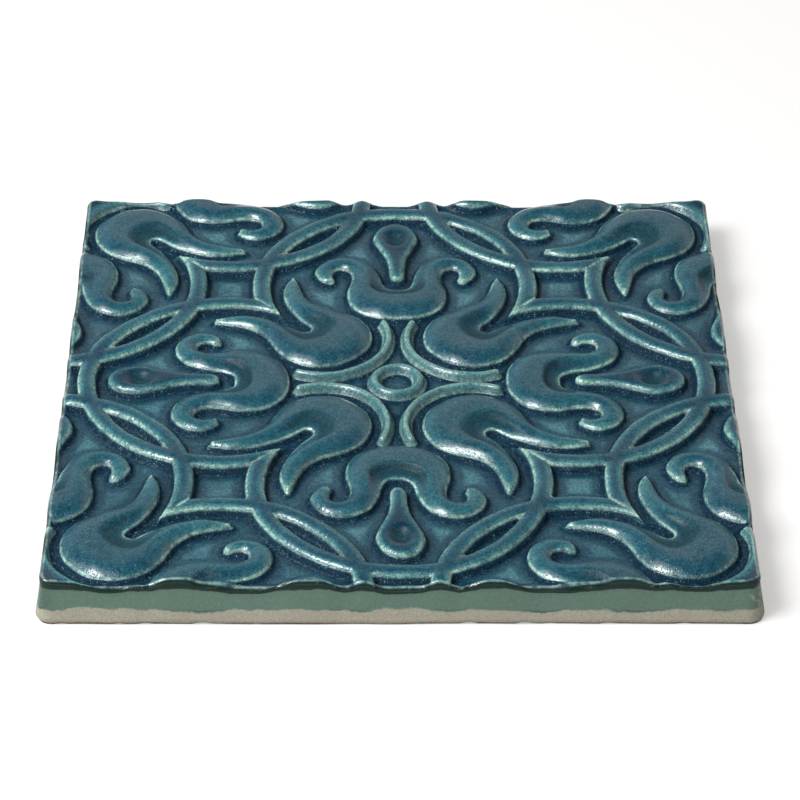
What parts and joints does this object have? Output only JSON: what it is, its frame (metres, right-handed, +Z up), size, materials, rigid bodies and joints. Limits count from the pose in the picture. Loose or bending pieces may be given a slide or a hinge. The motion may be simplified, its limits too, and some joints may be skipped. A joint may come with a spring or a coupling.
{
  "type": "relief wall tile",
  "caption": "Square glazed ceramic accent tile with interlaced straps, leaves, fleurs and drops pressed in relief, lying face up on a flat underside.",
  "frame": {"origin": "middle of the flat underside", "axes": "+Z up through the glazed face, +X and +Y along the tile's edges"},
  "size_m": [0.1532, 0.1532, 0.0116],
  "materials": {
    "glaze": "gloss teal-blue glaze over pressed clay, bare clay at the foot"
  },
  "bodies": {
    "root": {"relief_tile": "glaze"}
  },
  "joints": []
}
